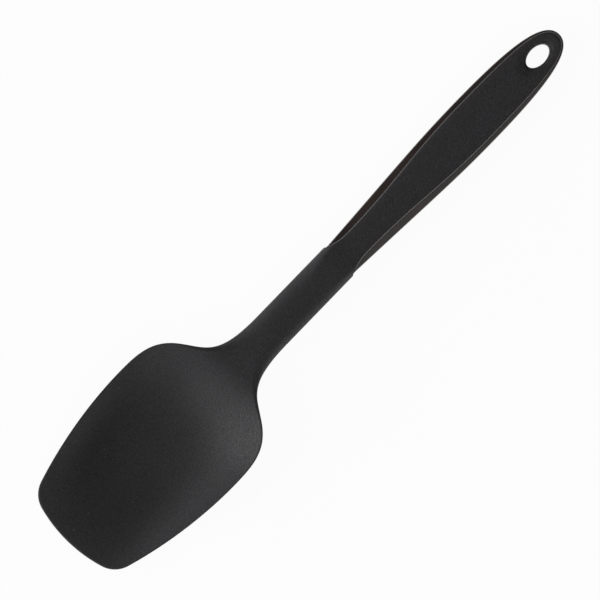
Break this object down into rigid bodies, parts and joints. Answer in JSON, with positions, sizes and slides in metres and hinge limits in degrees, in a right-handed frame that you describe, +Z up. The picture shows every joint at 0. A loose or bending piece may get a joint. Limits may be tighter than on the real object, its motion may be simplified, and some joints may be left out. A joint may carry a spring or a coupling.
{
  "type": "silicone serving and mixing spoon",
  "caption": "Kitchen spoon with a wide, blunt-tipped, dished silicone head, a round shank, and a flat handle with a glossy nylon band and an oval hanging hole.",
  "frame": {"origin": "on the table, under the middle of the spoon's box as it lies at rest on its bowl and its handle's end", "axes": "+X along the spoon from the head's tip to the handle's end, +Y across the spoon, +Z up out of the bowl"},
  "size_m": [0.28, 0.0638, 0.0192],
  "materials": {
    "nylon": "glossy brown-black moulded nylon",
    "silicone": "matte near-black moulded silicone"
  },
  "bodies": {
    "root": {"nylon_core": "nylon", "silicone_overmould": "silicone"}
  },
  "joints": []
}
